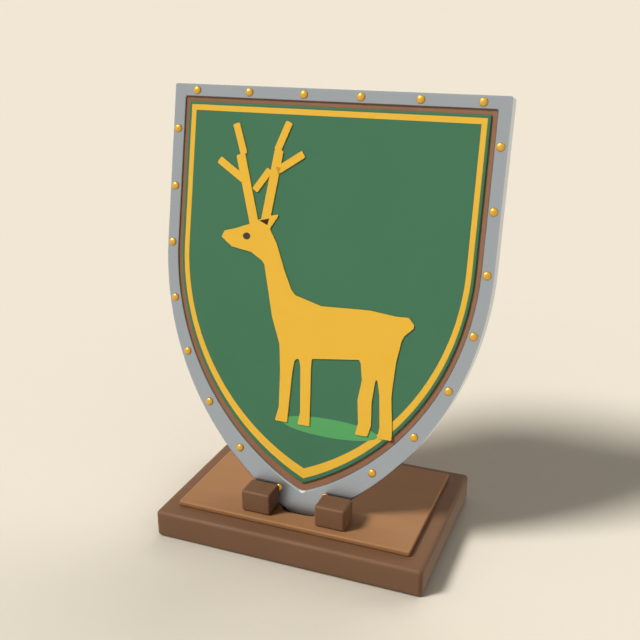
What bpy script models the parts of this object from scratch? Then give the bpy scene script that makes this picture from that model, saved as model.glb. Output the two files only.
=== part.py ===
"""Heater shield, standing in its wooden display plinth.

Metres, Z up. The origin is the middle of the plinth's underside. The shield
faces -Y, leans back by 12 degrees and has its point in a slot of the plinth.

A point on the shield is given as (u, v): u runs to the right of its middle
line, and v runs up its face from the plinth's top.
"""

import math

import bmesh
import bpy
from mathutils import Vector

CLEARANCE = 0.0003

# Plinth: a slab, a lighter panel let onto it, and two stop blocks in front.
SLAB_WIDTH = 0.500
SLAB_DEPTH = 0.339
SLAB_HEIGHT = 0.052
SLAB_ROUNDING = 0.008
PANEL_BORDER = 0.0314
PANEL_TOP = 0.0623
PANEL_ROUNDING = 0.0025
BLOCK_WIDTH = 0.0559
BLOCK_DEPTH = 0.0451
BLOCK_HEIGHT = 0.0413
BLOCK_FRONT = -0.1252
BLOCK_MIDDLE = 0.0701
BLOCK_ROUNDING = 0.0045

# Slot for the shield's point: through the panel and into the slab, with a shallow
# recess in front of it. Their sides follow the rim, as (half width, y) from the
# front to the back.
SLOT_SIDES = [(0.0120, -0.0898), (0.0370, -0.0853), (0.0402, -0.0830), (0.0552, -0.0400)]
SLOT_FLOOR = 0.0348
RECESS_SIDES = [(0.0245, -0.1008), (0.0380, -0.0835)]
RECESS_DEPTH = 0.0062

# Where the rim's front meets the panel, and how far the shield leans back.
FOOT_Y = -0.0846
LEAN = math.radians(12)

# Outlines as (half width, top, point). All turn inwards at the same shoulder.
SHOULDER = 0.4596
RIM_OUTLINE = (0.3000, 0.7380, -0.0213)
OPENING_OUTLINE = (0.2782, 0.7161, 0.0339)
FIELD_OUTLINE = (0.27015, 0.7080, 0.0485)
RIVET_LINE = (0.2889, 0.7268, 0.0090)
ARC_STEPS = 26

# Layers of the shield, each measured back from the rim's front.
RIM_DEPTH = 0.0385
RIM_SHEET = 0.0042
RIM_ROUNDING = 0.0037
FIELD_FRONT = 0.0010
FIELD_THICKNESS = 0.0032
FIELD_ROUNDING = 0.0027
STAG_THICKNESS = 0.0015

RIVET_COUNT = 22
RIVET_RADIUS = 0.0073
RIVET_HEIGHT = 0.0038
RIVET_SIDES = 16
RIVET_RINGS = 3
RELIEF_RADIUS = 0.0080
RELIEF_DEPTH = 0.0048

# The stag faces left. Its shape is in millimetres, as (u, height above the hooves).
MILLIMETRE = 0.001
HOOF_LINE = 0.1561
STAG_CORNER = 2.6
ANTLER_CORNER = 3.0

MUZZLE = [(-190, 317.5), (-184.5, 329), (-164.5, 334.5)]
POLL_AND_EAR = [(-136, 345), (-119, 353.8), (-96.5, 362.5), (-80, 366.8), (-97, 340)]
NAPE = [(-82, 315.5), (-64.2, 271.4), (-48, 237.5), (-39, 228.5)]
BACK = [(10, 215.5), (97.2, 219), (145.4, 214.2)]
TAIL = [(167, 215), (177.2, 203.5), (176.5, 197.5), (162, 183.2)]
THIGH = [(158, 173), (152.2, 138.5)]
HIND_CROTCH = [(120.4, 102.5)]
FLANK = [(90, 125.5), (86.5, 131.8)]
BELLY = [(0, 121.2)]
FORE_CROTCH = [(-24, 116.5), (-28, 118), (-32.5, 112.5)]
CHEST = [(-63, 138.2), (-80.8, 185), (-102.7, 276.4), (-107.8, 282.8)]
THROAT = [(-130, 295.8), (-168.5, 302)]

# Each leg from the top down, as (height, its front edge, its back edge).
OUTER_HIND_LEG = [(98.5, 122.8, 150), (75, 128, 149.3), (20, 133.2, 155.5), (0, 130.5, 156.2)]
INNER_HIND_LEG = [(97, 94.5, 118.4), (62, 89.7, 115.2), (21, 94.2, 117.8), (0, 90, 112.5)]
INNER_FORELEG = [(104.5, -20.4, -0.3), (22, -14.5, 3.9), (0, -18, 5)]
OUTER_FORELEG = [(92, -58.6, -35.1), (26, -56, -37.3), (0, -62, -38.1)]

# Antler branches as (root, end, width).
ANTLERS = [
    ((-127.2, 345), (-162, 464.8), 17.2),
    ((-155.5, 465.1), (-173.8, 517), 13.1),
    ((-153.3, 421.4), (-203.1, 453.1), 13.4),
    ((-106.8, 351), (-89.1, 476.2), 16.8),
    ((-92.6, 475.2), (-73.2, 524), 13.1),
    ((-88.8, 441.5), (-43.4, 471.8), 13.2),
    ((-104.2, 441.5), (-130.5, 403.8), 12.5),
]


# %% Scene, collections and materials

def clear_scene():
    """Remove everything that the file opened with."""
    for obj in list(bpy.data.objects):
        bpy.data.objects.remove(obj)


def new_collection(name):
    """Add a collection to the scene."""
    collection = bpy.data.collections.new(name)
    bpy.context.scene.collection.children.link(collection)
    return collection


def new_material(name, colour, roughness, metallic=0.0):
    """A plain Principled material."""
    material = bpy.data.materials.new(name)
    material.use_nodes = True
    shader = material.node_tree.nodes["Principled BSDF"]
    shader.inputs["Base Color"].default_value = (*colour, 1.0)
    shader.inputs["Roughness"].default_value = roughness
    shader.inputs["Metallic"].default_value = metallic
    return material


# %% Building blocks

def add_object(name, data, material=None, parent=None):
    """Put mesh or curve data into the scene as an object."""
    obj = bpy.data.objects.new(name, data)
    shield_parts.objects.link(obj)
    obj.parent = parent
    if material:
        data.materials.append(material)
    return obj


def as_cutter(obj):
    """Keep an object only as an operand of Booleans."""
    shield_parts.objects.unlink(obj)
    cutters.objects.link(obj)
    obj.hide_render = True
    obj.display_type = "WIRE"
    return obj


def box(name, size, middle, material=None, parent=None):
    """A box of a given size about its middle."""
    bm = bmesh.new()
    bmesh.ops.create_cube(bm, size=1.0)
    bmesh.ops.scale(bm, vec=size, verts=bm.verts)
    mesh = bpy.data.meshes.new(name)
    bm.to_mesh(mesh)
    bm.free()
    obj = add_object(name, mesh, material, parent)
    obj.location = middle
    return obj


def box_between(name, low, high, material=None, parent=None):
    """A box from its lowest corner to its highest one."""
    size = [b - a for a, b in zip(low, high)]
    middle = [(a + b) / 2 for a, b in zip(low, high)]
    return box(name, size, middle, material, parent)


def prism(name, corners, bottom, top):
    """An upright prism over a polygon."""
    bm = bmesh.new()
    base = bm.faces.new([bm.verts.new((x, y, bottom)) for x, y in corners])
    lifted = bmesh.ops.extrude_face_region(bm, geom=[base])["geom"]
    upper = [item for item in lifted if isinstance(item, bmesh.types.BMVert)]
    bmesh.ops.translate(bm, vec=(0.0, 0.0, top - bottom), verts=upper)
    bmesh.ops.recalc_face_normals(bm, faces=bm.faces)
    mesh = bpy.data.meshes.new(name)
    bm.to_mesh(mesh)
    bm.free()
    return add_object(name, mesh)


def boolean(obj, other, operation="DIFFERENCE"):
    """Cut an object with another, or join them."""
    modifier = obj.modifiers.new(operation.title() + " " + other.name, "BOOLEAN")
    modifier.operation = operation
    modifier.solver = "EXACT"
    modifier.object = other


def round_edges(obj, width, segments):
    """Round the edges that stand at more than 30 degrees."""
    modifier = obj.modifiers.new("Rounding", "BEVEL")
    modifier.width = width
    modifier.segments = segments
    modifier.limit_method = "ANGLE"
    modifier.angle_limit = math.radians(30)
    smooth(obj)


def round_marked_edges(obj, width, segments, wanted):
    """Round only the edges that `wanted` picks."""
    bm = bmesh.new()
    bm.from_mesh(obj.data)
    weight = bm.edges.layers.float.new("bevel_weight_edge")
    for edge in bm.edges:
        edge[weight] = 1.0 if wanted(edge) else 0.0
    bm.to_mesh(obj.data)
    bm.free()
    modifier = obj.modifiers.new("Rounding", "BEVEL")
    modifier.width = width
    modifier.segments = segments
    modifier.limit_method = "WEIGHT"
    smooth(obj)


def smooth(obj):
    """Shade the rounded parts smooth and keep the clear edges."""
    obj.data.shade_smooth()
    obj.data.set_sharp_from_angle(angle=math.radians(30))


# %% Outlines on the shield's face

def side_arc(half_width, point):
    """Where the arc of one side is centred, and its radius.

    The arc leaves the straight side at the shoulder and ends in the point.
    """
    drop = SHOULDER - point
    radius = (half_width ** 2 + drop ** 2) / (2 * half_width)
    return half_width - radius, radius


def on_arc(half_width, point, angle):
    """The point of the right side's arc that lies an angle below the shoulder."""
    centre, radius = side_arc(half_width, point)
    return centre + radius * math.cos(angle), SHOULDER - radius * math.sin(angle)


def arc_sweep(half_width, point):
    """Angle from the shoulder to the shield's point."""
    return math.asin((SHOULDER - point) / side_arc(half_width, point)[1])


def heater(half_width, top, point):
    """Corners of a heater shield: square above, two arcs meeting in a point below."""
    sweep = arc_sweep(half_width, point)
    right = [(half_width, top)]
    for step in range(ARC_STEPS + 1):
        right.append(on_arc(half_width, point, sweep * step / ARC_STEPS))
    left = [(-u, v) for u, v in reversed(right[:-1])]
    return right + left


def inset(outline, distance):
    """The heater outline that runs inside another at a constant distance."""
    half_width, top, point = outline
    centre, radius = side_arc(half_width, point)
    drop = math.sqrt((radius - distance) ** 2 - centre ** 2)
    return half_width - distance, top - distance, SHOULDER - drop


def soften(corners, radius):
    """Round the corners of an outline that turn by more than 12 degrees."""
    result = []
    for index, corner in enumerate(corners):
        here = Vector(corner)
        back = Vector(corners[index - 1]) - here
        ahead = Vector(corners[(index + 1) % len(corners)]) - here
        turn = math.pi - back.angle(ahead)
        if turn < math.radians(12):
            result.append(corner)
            continue
        reach = min(radius * math.tan(turn / 2), 0.45 * back.length, 0.45 * ahead.length)
        start = here + back.normalized() * reach
        end = here + ahead.normalized() * reach
        for t in (0, 1 / 3, 2 / 3, 1):
            result.append(tuple(start.lerp(here, t).lerp(here.lerp(end, t), t)))
    return result


# %% Plates that lie in the shield's plane

def plate_curve(name, outlines, thickness, front):
    """A filled flat curve, its front at a depth behind the rim's front."""
    curve = bpy.data.curves.new(name, "CURVE")
    curve.dimensions = "2D"
    curve.fill_mode = "BOTH"
    curve.extrude = thickness / 2
    for outline in outlines:
        spline = curve.splines.new("POLY")
        spline.points.add(len(outline) - 1)
        spline.use_cyclic_u = True
        for point, (u, v) in zip(spline.points, outline):
            point.co = (u, v, 0.0, 1.0)
    obj = add_object(name + "_curve", curve, parent=lean)
    obj.location = (0.0, front + thickness / 2, 0.0)
    obj.rotation_euler = (math.radians(90), 0.0, 0.0)
    return obj


def merge_caps(mesh):
    """Weld a curve's loose caps on and turn each into few large faces."""
    bm = bmesh.new()
    bm.from_mesh(mesh)
    bmesh.ops.remove_doubles(bm, verts=bm.verts, dist=0.00001)
    flat = [edge for edge in bm.edges if edge.calc_face_angle(math.pi) < math.radians(0.1)]
    bmesh.ops.dissolve_limit(bm, angle_limit=math.radians(0.1), edges=flat, verts=[])
    bm.to_mesh(mesh)
    bm.free()


def plate(name, outlines, thickness, front, material=None):
    """A flat plate as a mesh, parented to the leaning frame."""
    guide = plate_curve(name, outlines, thickness, front)
    bpy.context.view_layer.update()
    evaluated = guide.evaluated_get(bpy.context.evaluated_depsgraph_get())
    mesh = bpy.data.meshes.new_from_object(evaluated)
    merge_caps(mesh)
    obj = add_object(name, mesh, material, lean)
    obj.matrix_world = guide.matrix_world
    bpy.data.objects.remove(guide)
    return obj


# %% Plinth

def sunk_cutter(name, sides, floor):
    """A mirror-symmetric cutter that reaches down to a floor."""
    mirrored = [(-x, y) for x, y in reversed(sides)]
    return as_cutter(prism(name, sides + mirrored, floor, 2 * PANEL_TOP))


def make_slab(slot):
    """The dark base slab, all its edges rounded."""
    size = (SLAB_WIDTH, SLAB_DEPTH, SLAB_HEIGHT)
    slab = box("base_slab", size, (0, 0, SLAB_HEIGHT / 2), dark_wood)
    round_edges(slab, SLAB_ROUNDING, 4)
    boolean(slab, slot)


def make_panel(slot, recess):
    """The lighter panel on the slab, with a border left free all round."""
    half_width = SLAB_WIDTH / 2 - PANEL_BORDER
    half_depth = SLAB_DEPTH / 2 - PANEL_BORDER
    low = (-half_width, -half_depth, SLAB_HEIGHT + CLEARANCE)
    high = (half_width, half_depth, PANEL_TOP)
    panel = box_between("top_panel", low, high, light_wood)
    round_edges(panel, PANEL_ROUNDING, 2)
    boolean(panel, slot)
    boolean(panel, recess)


def rim_face_cutter():
    """Everything behind the plane in which the rim's front lies."""
    size = 1.5 * SLAB_WIDTH
    cutter = box("rim_face_cutter", (size, size, size), (0, size / 2 - CLEARANCE, 0), parent=lean)
    return as_cutter(cutter)


def rivet_relief(name, place):
    """Room for one rivet's head in the back of a stop block."""
    bm = bmesh.new()
    bmesh.ops.create_cone(
        bm, cap_ends=True, segments=RIVET_SIDES,
        radius1=RELIEF_RADIUS, radius2=RELIEF_RADIUS, depth=2 * RELIEF_DEPTH,
    )
    mesh = bpy.data.meshes.new(name)
    bm.to_mesh(mesh)
    bm.free()
    relief = add_object(name, mesh, parent=lean)
    relief.location = (place[0], 0.0, place[1])
    relief.rotation_euler = (math.radians(90), 0.0, 0.0)
    return as_cutter(relief)


def make_block(name, middle, face, relief):
    """A stop block; its back is planed to the lean where the rim bears on it."""
    bottom = PANEL_TOP + CLEARANCE
    low = (middle - BLOCK_WIDTH / 2, BLOCK_FRONT, bottom)
    high = (middle + BLOCK_WIDTH / 2, BLOCK_FRONT + BLOCK_DEPTH, PANEL_TOP + BLOCK_HEIGHT)
    block = box_between(name, low, high, dark_wood)
    round_edges(block, BLOCK_ROUNDING, 3)
    boolean(block, face)
    boolean(block, relief)


def make_plinth():
    """Slab, panel and the two blocks."""
    slot = sunk_cutter("slot_cutter", SLOT_SIDES, SLOT_FLOOR)
    recess = sunk_cutter("recess_cutter", RECESS_SIDES, PANEL_TOP - RECESS_DEPTH)
    make_slab(slot)
    make_panel(slot, recess)
    face = rim_face_cutter()
    lowest_right, lowest_left = rivet_places()[RIVET_COUNT // 2 - 1:RIVET_COUNT // 2 + 1]
    left_relief = rivet_relief("left_relief_cutter", lowest_left)
    right_relief = rivet_relief("right_relief_cutter", lowest_right)
    make_block("front_block_left", -BLOCK_MIDDLE, face, left_relief)
    make_block("front_block_right", BLOCK_MIDDLE, face, right_relief)


# %% Shield

def make_board():
    """The wooden board, held in the rim's channel."""
    margin = RIM_SHEET + CLEARANCE
    outline = heater(*inset(RIM_OUTLINE, margin))
    plate("shield_board", [outline], RIM_DEPTH - 2 * margin, margin, board_wood)


def make_field():
    """The painted field on the board, its front edge rounded over."""
    outline = heater(*FIELD_OUTLINE)
    field = plate("painted_field", [outline], FIELD_THICKNESS, FIELD_FRONT, green_paint)
    front = FIELD_THICKNESS / 2 - CLEARANCE
    back = CLEARANCE - FIELD_THICKNESS / 2

    def rounded(edge):
        heights = [vert.co.z for vert in edge.verts]
        sharp = edge.calc_face_angle() > math.radians(30)
        return sharp and max(heights) > front and (min(heights) > front or min(heights) < back)

    round_marked_edges(field, FIELD_ROUNDING, 3, rounded)


def make_rim():
    """The steel rim: a channel that wraps the board's edge, front and back."""
    outlines = [heater(*RIM_OUTLINE), heater(*OPENING_OUTLINE)]
    rim = plate("steel_rim", outlines, RIM_DEPTH, 0.0, steel)
    round_edges(rim, RIM_ROUNDING, 3)
    groove = heater(*inset(RIM_OUTLINE, RIM_SHEET))
    depth = RIM_DEPTH - 2 * RIM_SHEET
    boolean(rim, as_cutter(plate("groove_cutter", [groove], depth, RIM_SHEET)))


def rivet_place(distance):
    """Point of the rivet line at a distance from the middle of its top edge."""
    half_width, top, point = RIVET_LINE
    if distance < half_width:
        return distance, top
    distance -= half_width
    if distance < top - SHOULDER:
        return half_width, top - distance
    distance -= top - SHOULDER
    return on_arc(half_width, point, distance / side_arc(half_width, point)[1])


def rivet_places():
    """Evenly spaced places, clockwise from half a pitch right of the top's middle."""
    half_width, top, point = RIVET_LINE
    arc_length = arc_sweep(half_width, point) * side_arc(half_width, point)[1]
    half_line = half_width + (top - SHOULDER) + arc_length
    pitch = 2 * half_line / RIVET_COUNT
    right = [rivet_place((index + 0.5) * pitch) for index in range(RIVET_COUNT // 2)]
    return right + [(-u, v) for u, v in reversed(right)]


def rivet_profile():
    """Half of a rivet head's section, from its crown down to its rim and in."""
    bm = bmesh.new()
    points = []
    for ring in range(RIVET_RINGS + 1):
        angle = math.radians(90) * ring / RIVET_RINGS
        x = RIVET_RADIUS * math.sin(angle)
        points.append(bm.verts.new((x, 0.0, RIVET_HEIGHT * math.cos(angle))))
    points.append(bm.verts.new((0.0, 0.0, 0.0)))
    for first, second in zip(points, points[1:]):
        bm.edges.new((first, second))
    mesh = bpy.data.meshes.new("rivet_head")
    bm.to_mesh(mesh)
    bm.free()
    return mesh


def make_rivets():
    """Domed brass rivet heads round the rim's front, all of one profile."""
    profile = rivet_profile()
    profile.materials.append(brass)
    for number, (u, v) in enumerate(rivet_places(), start=1):
        rivet = add_object("rivet_%02d" % number, profile, parent=lean)
        rivet.location = (u, -CLEARANCE, v)
        rivet.rotation_euler = (math.radians(90), 0.0, 0.0)
        turned = rivet.modifiers.new("Turned", "SCREW")
        turned.steps = RIVET_SIDES
        turned.render_steps = RIVET_SIDES
        turned.use_merge_vertices = True
        turned.merge_threshold = 0.00001


# %% Stag

def leg_edge(rows):
    """Down a leg's back edge and up its front edge."""
    down = [(back, height) for height, front, back in rows]
    up = [(front, height) for height, front, back in reversed(rows)]
    return down + up


def stag_body():
    """The whole animal without its antlers, clockwise from the muzzle."""
    trunk = MUZZLE + POLL_AND_EAR + NAPE + BACK + TAIL + THIGH
    hind = leg_edge(OUTER_HIND_LEG) + HIND_CROTCH + leg_edge(INNER_HIND_LEG)
    fore = leg_edge(INNER_FORELEG) + FORE_CROTCH + leg_edge(OUTER_FORELEG)
    return trunk + hind + FLANK + BELLY + fore + CHEST + THROAT


def branch(root, end, width):
    """A straight antler branch with square, slightly rounded ends."""
    root = Vector(root)
    end = Vector(end)
    side = (end - root).orthogonal().normalized() * width / 2
    return [tuple(p) for p in (root + side, root - side, end - side, end + side)]


def on_face(outline):
    """Millimetres above the hooves as (u, v) on the shield."""
    return [(x * MILLIMETRE, HOOF_LINE + y * MILLIMETRE) for x, y in outline]


def make_stag():
    """The gilt stag: one plate, its antlers joined to the head."""
    front = FIELD_FRONT - CLEARANCE - STAG_THICKNESS
    body = on_face(soften(stag_body(), STAG_CORNER))
    stag = plate("stag_figure", [body], STAG_THICKNESS, front, gilt)
    for number, (root, end, width) in enumerate(ANTLERS, start=1):
        outline = on_face(soften(branch(root, end, width), ANTLER_CORNER))
        horn = plate("antler_%d" % number, [outline], STAG_THICKNESS, front)
        boolean(stag, as_cutter(horn), "UNION")


# %% Build

clear_scene()
shield_parts = new_collection("heater_shield")
cutters = new_collection("cutters")

dark_wood = new_material("dark_wood", (0.173, 0.086, 0.043), 0.55)
light_wood = new_material("light_wood", (0.337, 0.165, 0.069), 0.55)
board_wood = new_material("board_wood", (0.279, 0.135, 0.075), 0.55)
green_paint = new_material("green_paint", (0.058, 0.178, 0.096), 0.50)
gilt = new_material("gilt", (0.836, 0.487, 0.051), 0.50)
steel = new_material("steel", (0.442, 0.514, 0.624), 0.34, 1.0)
brass = new_material("brass", (0.800, 0.450, 0.065), 0.30, 0.6)

lean = bpy.data.objects.new("shield_lean", None)
shield_parts.objects.link(lean)
lean.location = (0.0, FOOT_Y, PANEL_TOP)
lean.rotation_euler = (-LEAN, 0.0, 0.0)
bpy.context.view_layer.update()

make_plinth()
make_board()
make_field()
make_rim()
make_rivets()
make_stag()
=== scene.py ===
# %% [markdown]
# # A heater shield on its display plinth
#
# The solids of this shield were modelled earlier, in metres and at full size: a
# wooden plinth with two stop blocks, a board in a steel rim, a painted field, a
# gold stag and a row of brass rivets. This lesson turns them into finished wood,
# paint and metal. It loads the solids as a fixed frame, so nothing here has to be
# placed by eye, and every fine piece takes the shape of the solid it stands for.

# %% Load the solids
import math

import bmesh
import bpy
from mathutils import Matrix, Vector


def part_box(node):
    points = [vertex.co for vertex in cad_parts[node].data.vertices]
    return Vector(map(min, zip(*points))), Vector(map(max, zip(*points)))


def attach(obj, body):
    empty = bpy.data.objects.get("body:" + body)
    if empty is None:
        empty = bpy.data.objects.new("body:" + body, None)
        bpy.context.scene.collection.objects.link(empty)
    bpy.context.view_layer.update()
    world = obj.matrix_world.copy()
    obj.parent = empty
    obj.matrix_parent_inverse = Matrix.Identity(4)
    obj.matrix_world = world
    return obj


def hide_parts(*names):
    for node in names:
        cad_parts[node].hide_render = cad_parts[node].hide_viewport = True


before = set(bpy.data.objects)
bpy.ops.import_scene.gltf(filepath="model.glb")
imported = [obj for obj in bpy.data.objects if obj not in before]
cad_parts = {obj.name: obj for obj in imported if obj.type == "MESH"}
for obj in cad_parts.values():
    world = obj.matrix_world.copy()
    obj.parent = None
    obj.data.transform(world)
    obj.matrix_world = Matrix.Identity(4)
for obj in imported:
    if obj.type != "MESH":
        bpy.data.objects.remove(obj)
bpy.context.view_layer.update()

# %% [markdown]
# ## The leaning face
#
# The whole shield stands on the plinth's top and leans back by 12 degrees from
# upright. Border, grass and eye are painted on its face, so it pays to have
# coordinates that run along that plane: u to the right of the middle line and v up
# the face. The same numbers were used to model the solids, and the print shows
# that they meet the packed field.

# %% Where the face stands
LEAN = math.radians(12)
PANEL_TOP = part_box("top_panel")[1].z
FOOT_Y = -0.0846
SHOULDER = 0.4596
FIELD_TOP = 0.7080
HOOF_LINE = 0.1561
MILLIMETRE = 0.001

foot = Vector((0.0, FOOT_Y, PANEL_TOP))
up_face = Vector((0.0, math.sin(LEAN), math.cos(LEAN)))
out_of_face = Vector((0.0, -math.cos(LEAN), math.sin(LEAN)))


def on_face(u, v):
    """A place on the plane of the rim's front."""
    return foot + Vector((u, 0.0, 0.0)) + v * up_face


low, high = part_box("painted_field")
print("top of the field: %.4f, packed: %.4f" % (on_face(0, FIELD_TOP).z, high.z))

# %% [markdown]
# ## Arithmetic on sockets
#
# A procedural finish is mostly small sums: a mask times a tone, one minus a mask, a
# distance taken from an edge. Wiring each sum by hand hides what it says. One small
# class wraps a socket and lets Python's own operators add the Math nodes, so the
# finish can be read as a formula.

# %% A socket that can be calculated with
class Wire:
    """An output socket; arithmetic on it adds Math nodes."""

    def __init__(self, finish, socket):
        self.finish = finish
        self.socket = socket

    def math(self, operation, *others):
        sockets = dict(enumerate([self, *others]))
        return self.finish.add("ShaderNodeMath", {"operation": operation}, sockets)

    def __add__(self, other):
        return self.math("ADD", other)

    def __sub__(self, other):
        return self.math("SUBTRACT", other)

    def __mul__(self, other):
        return self.math("MULTIPLY", other)

    def __truediv__(self, other):
        return self.math("DIVIDE", other)

    def __rsub__(self, other):
        return self.finish.number(other).math("SUBTRACT", self)

    def __abs__(self):
        return self.math("ABSOLUTE")

    __radd__ = __add__
    __rmul__ = __mul__

    def least(self, other):
        return self.math("MINIMUM", other)

    def most(self, other):
        return self.math("MAXIMUM", other)

    def step(self, start, end):
        """0 below start, 1 above end and smooth between them."""
        sockets = {"Value": self, "From Min": start, "From Max": end}
        settings = {"interpolation_type": "SMOOTHSTEP"}
        return self.finish.add("ShaderNodeMapRange", settings, sockets)


print("sums from either side:", [name for name in vars(Wire) if name.startswith("__r")])

# %% [markdown]
# ## A finish is a material with helpers
#
# Every finish starts as one Principled shader. The class below adds nodes to it
# through a single method that takes the node's type, its settings and what goes
# into its sockets. Colours go through Mix nodes and vectors through Vector Math,
# because a Math node would turn them into one grey number.

# %% The finish class
class Finish:
    """One material, built from nodes."""

    def __init__(self, name):
        self.material = bpy.data.materials.new(name)
        self.material.use_nodes = True
        self.nodes = self.material.node_tree.nodes
        self.links = self.material.node_tree.links
        self.shader = self.nodes["Principled BSDF"]

    def feed(self, socket, value):
        """Link a wire to a socket, or set the socket's value."""
        if isinstance(value, Wire):
            self.links.new(value.socket, socket)
        elif isinstance(value, (tuple, list)) and socket.type == "RGBA":
            socket.default_value = (*value[:3], 1.0)
        else:
            socket.default_value = value

    def add(self, kind, settings=None, sockets=None, output=0):
        """Add a node: first its settings, then its sockets."""
        node = self.nodes.new(kind)
        for key, value in (settings or {}).items():
            setattr(node, key, value)
        for key, value in (sockets or {}).items():
            self.feed(node.inputs[key], value)
        return Wire(self, node.outputs[output])

    def number(self, value):
        node = self.nodes.new("ShaderNodeValue")
        node.outputs[0].default_value = value
        return Wire(self, node.outputs[0])

    def place(self):
        """Coordinates in metres, fixed to the object."""
        return self.add("ShaderNodeTexCoord", output="Object")

    def parts(self, vector):
        """The x, y and z of a vector."""
        split = self.add("ShaderNodeSeparateXYZ", sockets={0: vector})
        return [Wire(self, split.socket.node.outputs[axis]) for axis in range(3)]

    def stretched(self, vector, scale):
        """A vector multiplied axis by axis."""
        sockets = {0: vector, 1: scale}
        return self.add("ShaderNodeVectorMath", {"operation": "MULTIPLY"}, sockets)

    def noise(self, vector, scale=1.0, detail=3.0, roughness=0.5, warp=0.0):
        """Smooth noise between 0 and 1."""
        sockets = {"Vector": vector, "Scale": scale, "Detail": detail}
        sockets.update({"Roughness": roughness, "Distortion": warp})
        return self.add("ShaderNodeTexNoise", None, sockets)

    def blend(self, first, second, amount, how="MIX"):
        """Two colours mixed."""
        settings = {"data_type": "RGBA", "blend_type": how}
        sockets = {0: amount, 6: first, 7: second}
        return self.add("ShaderNodeMix", settings, sockets, output=2)

    def toned(self, colour, tone):
        """A colour made a little lighter or darker by a number that varies."""
        grey = self.add("ShaderNodeCombineXYZ", None, {0: tone, 1: tone, 2: tone})
        return self.blend(colour, grey, 1.0, "MULTIPLY")

    def bump(self, height, depth, strength=1.0):
        """A normal bent by a height; depth is in metres."""
        sockets = {"Height": height, "Distance": depth, "Strength": strength}
        return self.add("ShaderNodeBump", None, sockets)

    def set(self, **values):
        """Feed the Principled shader's own sockets."""
        for key, value in values.items():
            self.feed(self.shader.inputs[key.replace("_", " ")], value)
        return self.material


print("helpers of a finish:", [name for name in vars(Finish) if name[0] != "_"])

# %% [markdown]
# ## Worn edges
#
# Edges and corners of the plinth are handled most, so its stain has worn a little
# lighter there. A wear mask could be painted by hand or taken from the Geometry
# node's pointiness, but paint needs an image and pointiness depends on the mesh.
# Here the mask is worked out from the packed box of each board: a point lies near an
# edge when it is close to two of the box's faces at once, so it is the middle one of
# its three depths that counts.

# %% How close a point is to a board's edges
def edge_wear(finish, place, node, reach):
    """1 on the outer edges of a box-shaped node, 0 a little way in."""
    low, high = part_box(node)
    depths = []
    for value, near, far in zip(finish.parts(place), low, high):
        depths.append((value - near).least(far - value))
    first, second, third = depths
    smallest = first.least(second).least(third)
    largest = first.most(second).most(third)
    middle = first + second + third - smallest - largest
    return 1 - middle.step(0.2 * reach, reach)


low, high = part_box("base_slab")
print("slab, in millimetres:", [round(1000 * (b - a), 1) for a, b in zip(low, high)])

# %% [markdown]
# ## Stained wood
#
# The plinth is plain stained wood: a dark slab and blocks, and a lighter panel. The
# stain hides most of the figure, so only faint growth bands, fine fibres and short
# open pores are left, all running along the board. A wave texture would draw bands
# that are too even. One noise that is drawn out twenty times or more along the grain
# gives each of them instead, and because the noise is solid, it turns into small
# dots on the end grain by itself. Each pair of numbers says how many there are in a
# metre, along the grain and across it.

# %% The wood finish
BANDS = (2.2, 46)
FIBRE = (16, 520)
PORES = (42, 1100)
WORN_TONE = 1.22


def wood(name, dark, light, node, grain=(1, 0, 0), reach=0.007):
    """Stained wood whose grain runs along one axis."""
    finish = Finish(name)
    place = finish.place()
    along = Vector(grain)
    across = Vector((1, 1, 1)) - along

    def drawn_out(density, *noise):
        """Noise that is drawn out along the grain."""
        scale = density[0] * along + density[1] * across
        return finish.noise(finish.stretched(place, scale), 1, *noise)

    bands = drawn_out(BANDS, 3, 0.55, 0.5)
    fibre = drawn_out(FIBRE, 4, 0.6)
    pore = drawn_out(PORES, 2, 0.5).step(0.62, 0.70)
    clouds = finish.noise(place, 9, 2, 0.5)
    tone = 0.45 * bands + 0.35 * fibre + 0.35 * clouds - 0.075
    colour = finish.blend(dark, light, tone.step(0.15, 0.85))
    worn = edge_wear(finish, place, node, reach) * clouds.step(0.30, 0.62)
    lighter = tuple(WORN_TONE * channel for channel in light)
    colour = finish.blend(colour, lighter, 0.38 * worn)
    colour = finish.blend(colour, dark, 0.30 * pore)
    height = 0.6 * fibre + 0.3 * bands - 0.5 * pore
    return finish.set(
        Base_Color=colour,
        Roughness=0.52 + 0.10 * fibre - 0.08 * worn,
        Specular_IOR_Level=0.30,
        Normal=finish.bump(height, 0.00012, 0.6),
    )


DARK_WOOD = ((0.156, 0.076, 0.038), (0.190, 0.095, 0.048))
LIGHT_WOOD = ((0.315, 0.152, 0.063), (0.359, 0.178, 0.075))
BOARD_WOOD = ((0.250, 0.120, 0.065), (0.308, 0.150, 0.084))

slab_wood = wood("slab_wood", *DARK_WOOD, "base_slab")
panel_wood = wood("panel_wood", *LIGHT_WOOD, "top_panel", reach=0.004)
left_block_wood = wood("left_block_wood", *DARK_WOOD, "front_block_left", (0, 0, 1), 0.005)
right_block_wood = wood("right_block_wood", *DARK_WOOD, "front_block_right", (0, 0, 1), 0.005)
print("wood finishes:", slab_wood.name, panel_wood.name, left_block_wood.name)

# %% [markdown]
# ## Planks
#
# The board inside the rim is the shield's real body, and it is glued up from upright
# planks. The joints could be cut into the mesh, but a glued joint has no gap, only a
# thin dark line. So the place across the board is divided by a plank's width: the
# whole part of the result numbers the plank, and the rest says how far the next seam
# is.

# %% Plank seams
BOARD_WIDTH = 0.591
PLANK_WIDTH = 0.098


def plank_pattern(x):
    """A number for each plank, and a mask on the seams between them."""
    position = x / PLANK_WIDTH + 0.5
    number = position.math("FLOOR")
    from_seam = abs(position - number - 0.5)
    seam = from_seam.step(0.488, 0.497)
    return number, seam


print("planks across the board:", round(BOARD_WIDTH / PLANK_WIDTH, 1))

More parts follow.
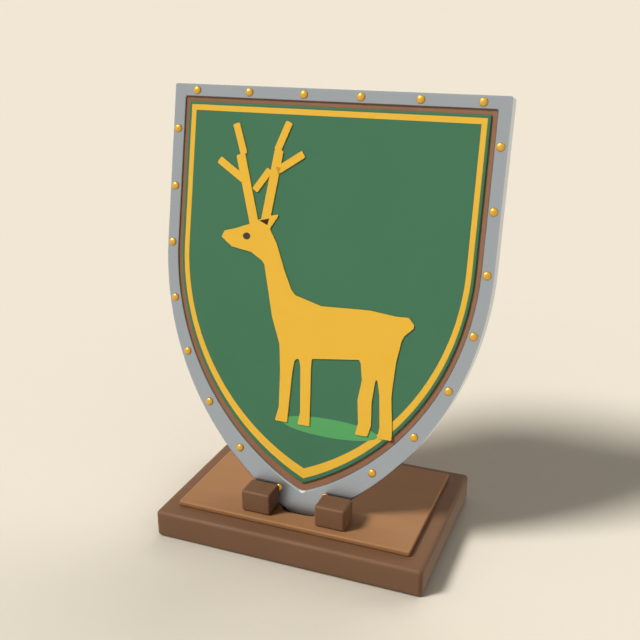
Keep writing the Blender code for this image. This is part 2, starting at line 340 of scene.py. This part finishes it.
# %% [markdown]
# ## The bare board
#
# The board shows as a thin brown line between rim and paint, and its whole back is
# left bare. Planks that are sawn from different logs never have quite the same
# colour, so the plank's number picks a tone of its own and shifts the grain along.
# The front was filled and sanded before it was painted, so the seams only show
# behind.

# %% The board finish
FILLED_DEPTH = (0.010, 0.016)
SEAM_TONE = 0.35


def planks(name, dark, light):
    """Upright planks, each with a tone of its own; the front is filled."""
    finish = Finish(name)
    place = finish.place()
    x, y, z = finish.parts(place)
    number, seam = plank_pattern(x)
    behind = (y - FOOT_Y) * math.cos(LEAN) - (z - PANEL_TOP) * math.sin(LEAN)
    seam = seam * behind.step(*FILLED_DEPTH)
    shift = finish.add("ShaderNodeCombineXYZ", None, {0: number * 3.7, 1: 0.0, 2: number * 1.9})
    moved = finish.add("ShaderNodeVectorMath", {"operation": "ADD"}, {0: place, 1: shift})
    bands = finish.noise(finish.stretched(moved, (34, 34, 1.6)), 1, 3, 0.55, 0.6)
    fibre = finish.noise(finish.stretched(moved, (480, 480, 14)), 1, 4, 0.6)
    own = finish.add("ShaderNodeTexWhiteNoise", {"noise_dimensions": "1D"}, {"W": number})
    tone = 0.55 * bands + 0.30 * fibre + 0.35 * own - 0.10
    colour = finish.blend(dark, light, tone.step(0.1, 0.9))
    darker = tuple(SEAM_TONE * channel for channel in dark)
    colour = finish.blend(colour, darker, 0.8 * seam)
    height = 0.5 * fibre + 0.4 * bands - 1.5 * seam
    return finish.set(
        Base_Color=colour,
        Roughness=0.55 + 0.10 * fibre,
        Specular_IOR_Level=0.30,
        Normal=finish.bump(height, 0.00015, 0.7),
    )


board_wood = planks("board_planks", *BOARD_WOOD)
print("board finish:", board_wood.name)

# %% [markdown]
# ## How deep a point lies in a heater outline
#
# Everything on this shield's face follows one shape: two straight sides, and two
# arcs that meet in a point. A painted line that follows it could be a texture or a
# thin strip of mesh. It is sharper, and stays only colour, when the finish itself
# knows the shape. The depth of a point inside the outline is the nearest of its
# distances to the top, a side or an arc.

# %% Depth inside a heater outline
def side_arc(half_width, point):
    """Centre and radius of the arc from the shoulder down to the point."""
    drop = SHOULDER - point
    radius = (half_width ** 2 + drop ** 2) / (2 * half_width)
    return half_width - radius, radius


def depth_inside(u, v, outline):
    """Distance of a point to the nearest stretch of a heater outline."""
    half_width, top, point = outline
    centre, radius = side_arc(half_width, point)
    across = abs(u) - centre
    down = (SHOULDER - v).most(0.0)
    from_centre = (across * across + down * down).math("SQRT")
    return (radius - from_centre).least(top - v)


BORDER_OUTSIDE = (0.26405, 0.7025, 0.0587)
BORDER_INSIDE = (0.2550, 0.6928, 0.0772)
print("arc of the border:", side_arc(BORDER_OUTSIDE[0], BORDER_OUTSIDE[2]))

# %% [markdown]
# ## Places on the face, and an oval
#
# A sign painter first rules the face. The finish does the same: it turns the
# object's coordinates into u and v on the leaning plane. A brush mark with round
# ends is then an ellipse, which is a circle after each direction is divided by its
# own half size. A soft step at its edge keeps the outline clean without being
# jagged.

# %% Coordinates on the face, and a painted oval
def face_coordinates(finish):
    """u across and v up the leaning face."""
    x, y, z = finish.parts(finish.place())
    v = (y - FOOT_Y) * math.sin(LEAN) + (z - PANEL_TOP) * math.cos(LEAN)
    return x, v


def ellipse(u, v, middle, size, soft=0.02):
    """1 inside an upright ellipse."""
    across = (u - middle[0]) / size[0]
    up = (v - middle[1]) / size[1]
    return 1 - (across * across + up * up).step(1 - soft, 1 + soft)


print("top of the border's outer edge on the plane:", on_face(0, BORDER_OUTSIDE[1]))

# %% [markdown]
# ## The painted field
#
# A painter would lay the green first, then a gold line that follows the edge, then
# the patch of grass that the stag stands on. All three are only colour, so they are
# masks in one finish and not raised pieces. The border is where a point is inside
# the outer outline but not inside the inner one. Faint upright brush strokes and
# cloudy tones keep the paint from looking like plastic, and its edge wanders within
# a third of a millimetre, as a steady hand's does.

# %% The field finish
GREEN = (0.058, 0.178, 0.096)
GOLD = (0.836, 0.487, 0.051)
GRASS = (0.102, 0.380, 0.130)
PAINT_EDGE = 0.00025
HAND_WOBBLE = 0.0003
GRASS_MIDDLE = (0.0405, 0.1582)
GRASS_SIZE = (0.0900, 0.0165)


def painted_field():
    """Green paint with a gold border line and a patch of grass."""
    finish = Finish("field_paint")
    u, v = face_coordinates(finish)
    brush = finish.add("ShaderNodeCombineXYZ", None, {0: u * 420.0, 1: 0.0, 2: v * 15.0})
    strokes = finish.noise(brush, 1, 3, 0.55)
    clouds = finish.noise(finish.place(), 7, 3, 0.5)
    tone = 0.93 + 0.08 * clouds + 0.04 * strokes
    wobble = HAND_WOBBLE * (finish.noise(finish.place(), 60, 2) - 0.5)
    inside = (depth_inside(u, v, BORDER_OUTSIDE) + wobble).step(-PAINT_EDGE, PAINT_EDGE)
    beyond = (depth_inside(u, v, BORDER_INSIDE) + wobble).step(-PAINT_EDGE, PAINT_EDGE)
    border = inside * (1 - beyond)
    grass = ellipse(u, v, GRASS_MIDDLE, GRASS_SIZE)
    colour = finish.blend(GREEN, GOLD, border)
    colour = finish.blend(colour, GRASS, grass)
    colour = finish.toned(colour, tone)
    height = 0.4 * strokes + 0.8 * border.most(grass) + 0.2 * clouds
    return finish.set(
        Base_Color=colour,
        Roughness=0.50 + 0.08 * strokes,
        Specular_IOR_Level=0.15,
        Normal=finish.bump(height, 0.00008, 0.5),
    )


field_paint = painted_field()
print("painted in one finish: field, border line and grass")

# %% [markdown]
# ## A painted triangle
#
# Two small triangles of darker paint are painted shade: one inside the stag's ear, in
# the nook between ear, head and antler, and a faint one where a side tine overlaps the
# beam, as shade falls in these creases. They could be cut as separate faces, but the
# plate is one piece of metal and its paint has no thickness. A point is inside a
# triangle when it lies on the inner side of all three lines, so the least of the three
# distances makes the mask.

# %% A painted triangle
def triangle(u, v, corners, soft=0.0004):
    """1 inside a triangle whose corners run anticlockwise."""
    inside = None
    for (u0, v0), (u1, v1) in zip(corners, corners[1:] + corners[:1]):
        length = math.hypot(u1 - u0, v1 - v0)
        depth = ((u1 - u0) * (v - v0) - (v1 - v0) * (u - u0)) / length
        inside = depth if inside is None else inside.least(depth)
    return inside.step(-soft, soft)


def above_hooves(points):
    """Millimetres from the stag's own base line as places on the face."""
    return [(x * MILLIMETRE, HOOF_LINE + y * MILLIMETRE) for x, y in points]


print("the stag's base line is at v =", HOOF_LINE)

# %% [markdown]
# ## The gold stag
#
# The stag is one thin plate, sawn out and painted a golden yellow: a beast standing
# at gaze, as in old heraldry. Real gilding would be a metal shader, but this yellow
# keeps its colour in every direction, so it is paint with a weak gloss. It was
# rubbed down along its length, which leaves faint level streaks. The eye is an
# ellipse, and a little glossier than the rest.

# %% The stag's finish
EYE_MIDDLE = above_hooves([(-140.6, 323.1)])[0]
EYE_SIZE = (0.0072, 0.0062)
EAR_PAINTED_SHADE = above_hooves([(-118.2, 352.3), (-102.0, 345.6), (-99.2, 357.6)])
TINE_PAINTED_SHADE = above_hooves([(-93.6, 447.4), (-87.6, 434.6), (-83.8, 446.0)])
DARK_PAINT = (0.065, 0.048, 0.038)
EAR_SHADE_COLOUR = (0.045, 0.022, 0.004)
TINE_SHADE_COLOUR = (0.560, 0.300, 0.035)


def gilt_plate():
    """Golden yellow paint on sheet metal, with the eye painted in and painted shade in two
    small creases.
    """
    finish = Finish("stag_gold")
    u, v = face_coordinates(finish)
    place = finish.place()
    clouds = finish.noise(place, 14, 3, 0.5)
    brushed = finish.noise(finish.stretched(place, (30, 30, 260)), 1, 3, 0.5)
    tone = 0.94 + 0.07 * clouds + 0.03 * brushed
    colour = finish.toned(GOLD, tone)
    eye = ellipse(u, v, EYE_MIDDLE, EYE_SIZE, 0.06)
    colour = finish.blend(colour, DARK_PAINT, eye)
    # painted shade: darker tones in the nook by the ear and where a side tine overlaps the beam
    colour = finish.blend(colour, EAR_SHADE_COLOUR, triangle(u, v, EAR_PAINTED_SHADE))
    colour = finish.blend(colour, TINE_SHADE_COLOUR, triangle(u, v, TINE_PAINTED_SHADE))
    return finish.set(
        Base_Color=colour,
        Roughness=0.48 + 0.08 * brushed - 0.15 * eye,
        Specular_IOR_Level=0.15,
        Normal=finish.bump(0.5 * brushed + 0.5 * clouds, 0.00008, 0.4),
    )


stag_gold = gilt_plate()
print("eye at", [round(value, 4) for value in EYE_MIDDLE])

# %% [markdown]
# ## Satin steel
#
# The rim is steel, rubbed down with fine abrasive: it has soft reflections, faint
# scratches that run both ways, and it has darkened slightly in patches. Noise that is
# stretched along one axis gives the scratches. On the opening's edge, and most of all
# at its lowest point, a painted highlight stands in for a glint: the colour turns near
# white and the metal less metallic there. It is a mask in the same finish and not a
# separate strip, because the rim is one sheet; the mask follows the opening's outline
# and fades with the distance from the point.

# %% The painted glint on the opening's edge
STEEL = (0.462, 0.534, 0.646)
GLINT_WHITE = (0.960, 0.960, 0.960)
OPENING_OUTLINE = (0.2782, 0.7161, 0.0339)
RIM_OUTLINE = (0.3000, 0.7380, -0.0213)

# Distances over which each mask fades out.
GLINT_BAND = (0.0008, 0.0018)
CLOSE_TO_POINT = (0.003, 0.007)
FURTHER_AWAY = (0.010, 0.060)
ROUND_THE_SIDE = (0.0006, 0.0026)


def glint_edge_mask(finish):
    """1 where a painted highlight lies on the opening's edge, strongest at its lowest point."""
    u, v = face_coordinates(finish)
    from_edge = abs(depth_inside(u, v, OPENING_OUTLINE) + GLINT_BAND[0])
    edge = 1 - from_edge.step(*GLINT_BAND)
    up = v - OPENING_OUTLINE[2]
    from_point = (u * u + up * up).math("SQRT")
    close = 1 - from_point.step(*CLOSE_TO_POINT)
    further = 1 - from_point.step(*FURTHER_AWAY)
    return edge * (close + 0.25 * further).least(1.0)


def outer_side(finish):
    """1 on the rim's outer side, 0 on its front and back."""
    u, v = face_coordinates(finish)
    return 1 - depth_inside(u, v, RIM_OUTLINE).step(*ROUND_THE_SIDE)


print("the opening's point is at v =", OPENING_OUTLINE[2])

# %% [markdown]
# ## The steel finish
#
# The scratches make the front and back of the rim satin. Its outer side slides
# through hands and cloths and has become smoother, so it mirrors more when it is seen
# at a low angle. That needs no second material either: one mask lowers the roughness
# there.

# %% The steel finish
def satin_steel():
    """Rubbed steel with fine scratches and faint patches."""
    finish = Finish("satin_steel")
    place = finish.place()
    patches = finish.noise(place, 11, 4, 0.55)
    first = finish.noise(finish.stretched(place, (900, 60, 60)), 1, 2)
    second = finish.noise(finish.stretched(place, (60, 60, 900)), 1, 2)
    scratches = first.most(second).step(0.60, 0.75)
    tone = 0.945 + 0.08 * patches + 0.015 * scratches
    # painted highlight: a near-white, less metallic patch on the opening's edge stands in for a
    # glint
    painted_glint = glint_edge_mask(finish)
    colour = finish.blend(finish.toned(STEEL, tone), GLINT_WHITE, painted_glint)
    return finish.set(
        Base_Color=colour,
        Metallic=1.0 - 0.8 * painted_glint,
        Roughness=0.34 + 0.06 * patches - 0.02 * scratches - 0.22 * outer_side(finish),
        Normal=finish.bump(patches, 0.00004, 0.15),
    )


steel = satin_steel()
print("rim finish:", steel.name)

# %% [markdown]
# ## Brass
#
# The rivets are brass, and the same cloths polish them, so they keep a clear
# highlight. A thin film of wax lies on them, and it keeps some plain colour in the
# metal, so the finish is only partly metallic. A little brown tarnish stays where a
# dome meets the steel, out of reach. The heads are turned about their own axis and
# keep their own coordinates, so how high a point is on its dome says how much
# tarnish it has.

# %% The brass finish
BRASS = (0.800, 0.450, 0.065)
TARNISH = (0.330, 0.150, 0.030)
TARNISH_HEIGHT = (0.0004, 0.0028)


def polished_brass():
    """Brass with a little tarnish low on each dome."""
    finish = Finish("polished_brass")
    place = finish.place()
    up = finish.parts(place)[2]
    spots = finish.noise(place, 380, 3, 0.55)
    low = 1 - up.step(*TARNISH_HEIGHT)
    tarnish = low * (0.4 + 0.6 * spots)
    colour = finish.blend(BRASS, TARNISH, 0.75 * tarnish)
    return finish.set(
        Base_Color=colour,
        Metallic=0.6,
        Roughness=0.28 + 0.10 * spots + 0.12 * tarnish,
        Normal=finish.bump(spots, 0.00004, 0.4),
    )


brass = polished_brass()
print("metals:", steel.name, brass.name)

# %% [markdown]
# ## Welding a solid
#
# The packed solids have the right shape, but they are made of separate triangles
# with flat shading, which shows on every rounding. Modelling each piece again would
# risk a different size. So a piece starts as a copy of its solid: the copy's points
# are welded, triangles that lie in one plane are merged into one face, and edges too
# short to see are closed up, because a bevel would leave slivers at them.

# %% Copy a solid as one welded mesh
SAME_POINT = 0.00001
SAME_PLANE = math.radians(0.2)
TOO_SHORT = 0.00005


def welded_copy(node, name):
    """The node's own shape, with its flat faces merged."""
    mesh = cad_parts[node].data.copy()
    mesh.name = name
    custom = mesh.attributes.get("custom_normal")
    if custom:
        mesh.attributes.remove(custom)
    bm = bmesh.new()
    bm.from_mesh(mesh)
    bmesh.ops.remove_doubles(bm, verts=bm.verts, dist=SAME_POINT)
    flat = [edge for edge in bm.edges if edge.calc_face_angle(math.pi) < SAME_PLANE]
    bmesh.ops.dissolve_limit(bm, angle_limit=SAME_PLANE, edges=flat, verts=[])
    bmesh.ops.dissolve_degenerate(bm, edges=bm.edges, dist=TOO_SHORT)
    bm.to_mesh(mesh)
    bm.free()
    return mesh


print("the rim's solid:", len(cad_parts["steel_rim"].data.polygons), "triangles")
print("welded:", len(welded_copy("steel_rim", "trial").polygons), "faces")

# %% [markdown]
# ## From a solid to a fine piece
#
# The last hard edges are eased with a small bevel, because no real edge is perfectly
# sharp and an eased one catches the light. Normals weighted by face area keep the
# large faces flat and the small roundings soft, without more faces. The piece rides
# where the solid is, and stands for it.

# %% Make the fine piece
SHARP_ANGLE = math.radians(50)


def fine_piece(node, name, finish, ease=0.0004):
    """A fine piece that stands for a node, riding where the solid is."""
    mesh = welded_copy(node, name)
    mesh.materials.clear()
    mesh.materials.append(finish)
    piece = bpy.data.objects.new(name, mesh)
    bpy.context.scene.collection.objects.link(piece)
    if ease:
        eased = piece.modifiers.new("Eased edges", "BEVEL")
        eased.width = ease
        eased.segments = 2
        eased.limit_method = "ANGLE"
        eased.angle_limit = SHARP_ANGLE
        eased.use_clamp_overlap = True
    mesh.shade_smooth()
    mesh.set_sharp_from_angle(angle=SHARP_ANGLE)
    weighted = piece.modifiers.new("Weighted normals", "WEIGHTED_NORMAL")
    weighted.keep_sharp = True
    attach(piece, "root")
    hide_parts(node)
    print("%-20s %5d faces" % (name, len(mesh.polygons)))


# %% [markdown]
# ## The plinth
#
# The plinth is four boards: a slab with rounded edges, a lighter panel on it, and two
# blocks that stop the rim from sliding forward. Their roundings and the slot are
# already in the solids, so only the cut edges of the slot and the planed backs of
# the blocks need easing.

# %% The plinth's pieces
fine_piece("base_slab", "slab", slab_wood, 0.0006)
fine_piece("top_panel", "panel", panel_wood, 0.0006)
fine_piece("front_block_left", "left_stop_block", left_block_wood)
fine_piece("front_block_right", "right_stop_block", right_block_wood)

# %% [markdown]
# ## The shield
#
# The board is held in the rim's channel, the field lies on the board, and the stag
# on the field. Rim and field have their roundings already, and the board's edge is
# hidden in the channel. Only the stag is sawn sheet with a fresh edge, which was
# broken with a file, so it gets the smallest bevel.

# %% The shield's pieces
fine_piece("shield_board", "board", board_wood, 0.0)
fine_piece("painted_field", "field", field_paint, 0.0)
fine_piece("stag_figure", "stag", stag_gold, 0.0003)
fine_piece("steel_rim", "rim", steel, 0.0)

# %% [markdown]
# ## A rivet head
#
# A rivet head is formed in a round die. A squashed sphere would do, but turning half
# a section about its axis is how such a shape is drawn, and the section can be any
# curve. It is a quarter ellipse here. The packed heads have few sides, so each is
# replaced by a finer one of the same size.

# %% Turn one head
HEAD_RADIUS = 0.0073
HEAD_HEIGHT = 0.0038
HEAD_SIDES = 40
HEAD_RINGS = 9
RIVET_COUNT = 22


def turned_dome(name, radius, height, sides, rings):
    """A dome with a flat base, turned about Z."""
    bm = bmesh.new()
    profile = []
    for ring in range(rings + 1):
        angle = math.radians(90) * ring / rings
        x = radius * math.sin(angle)
        profile.append(bm.verts.new((x, 0.0, height * math.cos(angle))))
    profile.append(bm.verts.new((0.0, 0.0, 0.0)))
    edges = [bm.edges.new(pair) for pair in zip(profile, profile[1:])]
    bmesh.ops.spin(
        bm, geom=profile + edges, axis=(0, 0, 1), cent=(0, 0, 0),
        angle=math.tau, steps=sides, use_merge=True,
    )
    bmesh.ops.remove_doubles(bm, verts=bm.verts, dist=0.000001)
    bmesh.ops.recalc_face_normals(bm, faces=bm.faces)
    mesh = bpy.data.meshes.new(name)
    bm.to_mesh(mesh)
    bm.free()
    mesh.shade_smooth()
    mesh.set_sharp_from_angle(angle=SHARP_ANGLE)
    return mesh


head_mesh = turned_dome("rivet_head", HEAD_RADIUS, HEAD_HEIGHT, HEAD_SIDES, HEAD_RINGS)
head_mesh.materials.append(brass)
print("one head:", len(head_mesh.polygons), "faces")

# %% [markdown]
# ## Twenty-two heads on the rim
#
# The rivets hold the rim to the board, at even distances along it. They all came
# from one die, so they all share one mesh. Nothing has to be measured again: the
# crown is the packed head's outermost point, and the axis runs straight in from
# there.

# %% Seat the heads on the rim
def crown_of(node):
    """The outermost point of a packed rivet head."""
    return max((vert.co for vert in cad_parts[node].data.vertices), key=out_of_face.dot)


seats = []
for number in range(1, RIVET_COUNT + 1):
    node = "rivet_%02d" % number
    seat = crown_of(node) - HEAD_HEIGHT * out_of_face
    head = bpy.data.objects.new("brass_" + node, head_mesh)
    bpy.context.scene.collection.objects.link(head)
    head.location = seat
    head.rotation_euler = out_of_face.to_track_quat("Z", "Y").to_euler()
    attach(head, "root")
    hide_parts(node)
    seats.append(seat)
print("rivets seated:", len(seats))

# %% [markdown]
# ## Rivet tails
#
# A rivet goes right through and is hammered flat over a small washer at the back.
# Without a tail the head in front would hold nothing. A washer is a very low dome
# and a hammered tail a smaller one on it, so the helper that turned the heads makes
# both.

# %% Make the tails
RIM_DEPTH = 0.0385
TAIL_RADIUS = 0.0042
TAIL_HEIGHT = 0.0014
WASHER_RADIUS = 0.0072
WASHER_HEIGHT = 0.0007
CLEARANCE = 0.0003


def tail_shapes():
    """A washer and a hammered tail, both as low domes."""
    washer = turned_dome("washer", WASHER_RADIUS, WASHER_HEIGHT, 32, 4)
    tail = turned_dome("tail", TAIL_RADIUS, TAIL_HEIGHT + WASHER_HEIGHT, 24, 5)
    return washer, tail


def all_tails():
    """Every washer and tail in one mesh, behind the heads."""
    bm = bmesh.new()
    turn = (-out_of_face).to_track_quat("Z", "Y").to_matrix().to_4x4()
    for seat in seats:
        through = Matrix.Translation(seat - (RIM_DEPTH + CLEARANCE) * out_of_face)
        for shape in tail_shapes():
            shape.transform(through @ turn)
            bm.from_mesh(shape)
    mesh = bpy.data.meshes.new("rivet_tails")
    bm.to_mesh(mesh)
    bm.free()
    return mesh


print("washer and tail:", [len(shape.polygons) for shape in tail_shapes()], "faces")

# %% [markdown]
# ## The tails on the back flange
#
# All the tails are joined in one piece, because nobody picks one up alone. They are
# seated straight behind the heads, on the rim's back flange.

# %% Seat the tails
tails = bpy.data.objects.new("rivet_tails", all_tails())
bpy.context.scene.collection.objects.link(tails)
tails.data.materials.append(brass)
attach(tails, "root")
print("tails:", len(tails.data.polygons), "faces")

# %% [markdown]
# ## The floor
#
# The shield stands on a plain cream floor that runs on to the horizon. Paper or cloth
# in a real studio darkens softly round whatever stands on it, because less of the
# room lights it there. Ambient Occlusion gives that shade for a wide distance, which
# the few distant lamps alone wouldn't. In the metal the floor shows as evenly pale
# as the walls, without its shadow: a Light Path node swaps the paint for a plain glow
# in reflections.

# %% The floor
FLOOR_COLOUR = (0.825, 0.750, 0.619)
ROOM_COLOUR = (0.888, 0.807, 0.666)
ROOM_IN_METAL = 0.92
SHADE_REACH = 1.50
DEEPEST_SHADE = 0.45
FLOOR_MIDDLE = (300.0, -100.0, 0.0)
FLOOR_HALF_SIZE = 1000.0


def make_floor():
    """A wide plain floor at the plinth's underside."""
    bm = bmesh.new()
    middle = Matrix.Translation(FLOOR_MIDDLE)
    bmesh.ops.create_grid(bm, x_segments=1, y_segments=1, size=FLOOR_HALF_SIZE, matrix=middle)
    mesh = bpy.data.meshes.new("studio_floor")
    bm.to_mesh(mesh)
    bm.free()
    finish = Finish("studio_floor")
    reach = {"Distance": SHADE_REACH}
    open_sky = finish.add("ShaderNodeAmbientOcclusion", {"samples": 12}, reach, output="AO")
    deepest = tuple(DEEPEST_SHADE * channel for channel in FLOOR_COLOUR)
    shaded = finish.blend(deepest, FLOOR_COLOUR, open_sky)
    finish.set(Base_Color=shaded, Roughness=1.0, Specular_IOR_Level=0.0)
    painted = Wire(finish, finish.shader.outputs[0])
    glow = {"Color": ROOM_COLOUR, "Strength": ROOM_IN_METAL}
    pale = finish.add("ShaderNodeEmission", None, glow)
    in_metal = finish.add("ShaderNodeLightPath", output="Is Glossy Ray")
    both = finish.add("ShaderNodeMixShader", None, {0: in_metal, 1: painted, 2: pale})
    finish.feed(finish.nodes["Material Output"].inputs["Surface"], both)
    mesh.materials.append(finish.material)
    floor = bpy.data.objects.new("studio_floor", mesh)
    bpy.context.scene.collection.objects.link(floor)
    return floor


print("floor:", [round(value) for value in make_floor().dimensions], "metres")

# %% [markdown]
# ## The lights
#
# The key light comes from high on the left in front, with a wide disc, so the shadow
# to the right grows soft. Two weaker, wider lights from behind lift the right side
# and lay a faint second shadow in front. Suns are used because their light falls
# evenly on the whole floor. They are hidden from reflections: a sun's wide disc
# would leave a hard white patch on the rim's rounded edge.

# %% The lights
def add_sun(name, towards, disc, power):
    """A distant light that shines along a direction; disc is its width in degrees."""
    light = bpy.data.lights.new(name, "SUN")
    light.energy = power
    light.angle = math.radians(disc)
    lamp = bpy.data.objects.new(name, light)
    bpy.context.scene.collection.objects.link(lamp)
    lamp.rotation_euler = Vector(towards).to_track_quat("-Z", "Y").to_euler()
    return lamp


KEY_TRAVEL = (0.709, 0.633, -1.0)
BACK_TRAVEL = (0.0, -1.0, -1.0)
SIDE_TRAVEL = (-1.943, -1.943, -1.0)
KEY_DISC = 16
WIDE_DISC = 35

key = add_sun("key_light", KEY_TRAVEL, KEY_DISC, 3.50)
back = add_sun("back_light", BACK_TRAVEL, WIDE_DISC, 0.69)
side = add_sun("side_light", SIDE_TRAVEL, WIDE_DISC, 0.80)
for lamp in (key, back, side):
    lamp.visible_glossy = False
    print("%-10s %.2f" % (lamp.name, lamp.data.energy))

# %% [markdown]
# ## The glint
#
# Polished brass and the wood's rounded edges do show the lamp. One more sun from the
# key light's direction gives only reflections and no other light. It spares the rim,
# whose satin steel mirrors the pale room instead, and light linking is the tool for
# that: a collection says which pieces the lamp doesn't reach.

# %% The glint
glint = add_sun("glint_light", KEY_TRAVEL, KEY_DISC, 2.00)
glint.visible_diffuse = False
spared = bpy.data.collections.new("spared_from_glint")
spared.objects.link(bpy.data.objects["rim"])
spared.collection_objects[0].light_linking.link_state = "EXCLUDE"
glint.light_linking.receiver_collection = spared

# %% [markdown]
# ## The sky
#
# Behind everything stands a pale sky of the floor's own colour, as a painted studio
# wall would. As a light it does very little. In the metal it is almost as bright as
# the floor, which is what makes the rim a calm, pale grey. A mirror ball or a picture
# of a room could do the same, but a Light Path node that tells these two cases and
# the camera's own view apart is enough.

# %% The sky
SKY_LIGHT = 0.02


def background(nodes, strength):
    """One pale background shader of the sky."""
    shader = nodes.new("ShaderNodeBackground")
    shader.inputs["Color"].default_value = (*ROOM_COLOUR, 1.0)
    shader.inputs["Strength"].default_value = strength
    return shader.outputs[0]


def make_world():
    """A sky that lights little, and looks as pale as the floor."""
    world = bpy.data.worlds.new("studio_sky")
    bpy.context.scene.world = world
    world.use_nodes = True
    nodes = world.node_tree.nodes
    links = world.node_tree.links
    path = nodes.new("ShaderNodeLightPath")
    sky = background(nodes, SKY_LIGHT)
    for ray, strength in (("Is Glossy Ray", ROOM_IN_METAL), ("Is Camera Ray", 1.0)):
        mix = nodes.new("ShaderNodeMixShader")
        links.new(path.outputs[ray], mix.inputs[0])
        links.new(sky, mix.inputs[1])
        links.new(background(nodes, strength), mix.inputs[2])
        sky = mix.outputs[0]
    links.new(sky, nodes["World Output"].inputs["Surface"])


make_world()
bpy.context.scene.view_settings.view_transform = "Standard"
print("sky:", ROOM_COLOUR, "as a light:", SKY_LIGHT, "in metal:", ROOM_IN_METAL)

# %% [markdown]
# ## The camera
#
# The camera stands in front of the shield and to its right, a little higher than
# its top, and looks down at its middle. A 50 mm lens from about one and a half
# metres keeps the straight edges calm.

# %% The camera
CAMERA_PLACE = (0.53943, -1.35853, 0.93215)
CAMERA_TARGET = (0.0044, 0.0, 0.39728)


def make_camera():
    """A 50 mm camera aimed at the middle of the shield."""
    camera = bpy.data.cameras.new("studio_camera")
    camera.lens = 50
    camera.sensor_width = 36
    camera.clip_end = 3000
    holder = bpy.data.objects.new("studio_camera", camera)
    bpy.context.scene.collection.objects.link(holder)
    holder.location = CAMERA_PLACE
    aim = Vector(CAMERA_TARGET) - holder.location
    holder.rotation_euler = aim.to_track_quat("-Z", "Y").to_euler()
    bpy.context.scene.camera = holder
    return aim.length


print("camera distance: %.3f m" % make_camera())

# %% [markdown]
# ## Update the view layer
#
# The finished pieces may not outgrow the solids, because whoever uses the part
# relies on its packed size. Here the view layer is only updated.

# %% Update the view layer
bpy.context.view_layer.update()

# %% [markdown]
